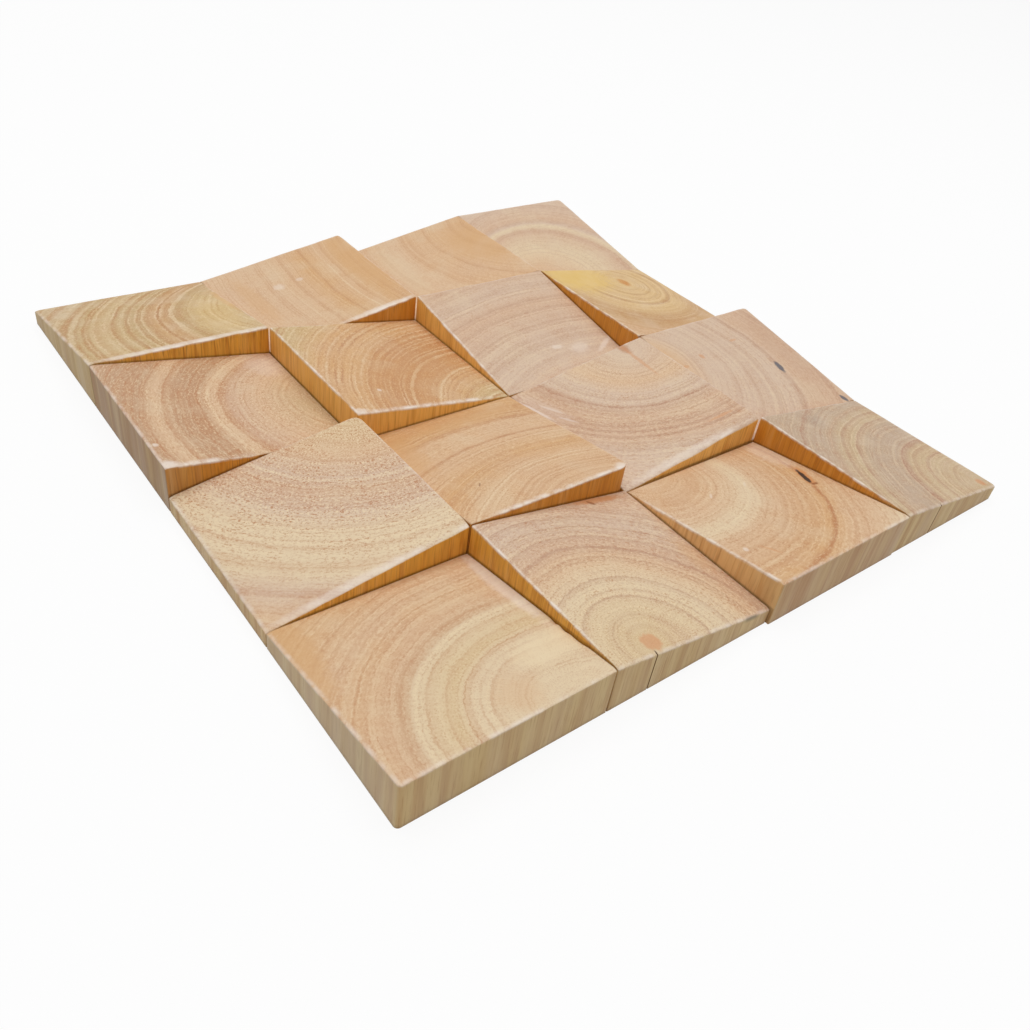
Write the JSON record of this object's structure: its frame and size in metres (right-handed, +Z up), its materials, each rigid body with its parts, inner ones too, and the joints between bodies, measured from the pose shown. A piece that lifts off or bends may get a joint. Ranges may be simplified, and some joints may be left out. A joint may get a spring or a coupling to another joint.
{
  "type": "wood mosaic panel",
  "caption": "Square wall panel of wedge-shaped end-grain wood blocks glued side by side, their slanted tops turned in different directions.",
  "frame": {"origin": "middle of the panel's footprint, on its flat underside", "axes": "+X along the front edge of the panel, +Y from the front row to the back row, +Z up through the panel's thickness"},
  "size_m": [0.2996, 0.301, 0.0194],
  "materials": {
    "end_grain_wood": "sanded bare end grain"
  },
  "bodies": {
    "root": {"block_row_1_column_1": "end_grain_wood", "block_row_1_column_2": "end_grain_wood", "block_row_1_column_3": "end_grain_wood", "block_row_1_column_4": "end_grain_wood", "block_row_2_column_1": "end_grain_wood", "block_row_2_column_2": "end_grain_wood", "block_row_2_column_3": "end_grain_wood", "block_row_2_column_4": "end_grain_wood", "block_row_3_column_1": "end_grain_wood", "block_row_3_column_2": "end_grain_wood", "block_row_3_column_3": "end_grain_wood", "block_row_3_column_4": "end_grain_wood", "block_row_4_column_1": "end_grain_wood", "block_row_4_column_2": "end_grain_wood", "block_row_4_column_3": "end_grain_wood", "block_row_4_column_4": "end_grain_wood"}
  },
  "joints": []
}
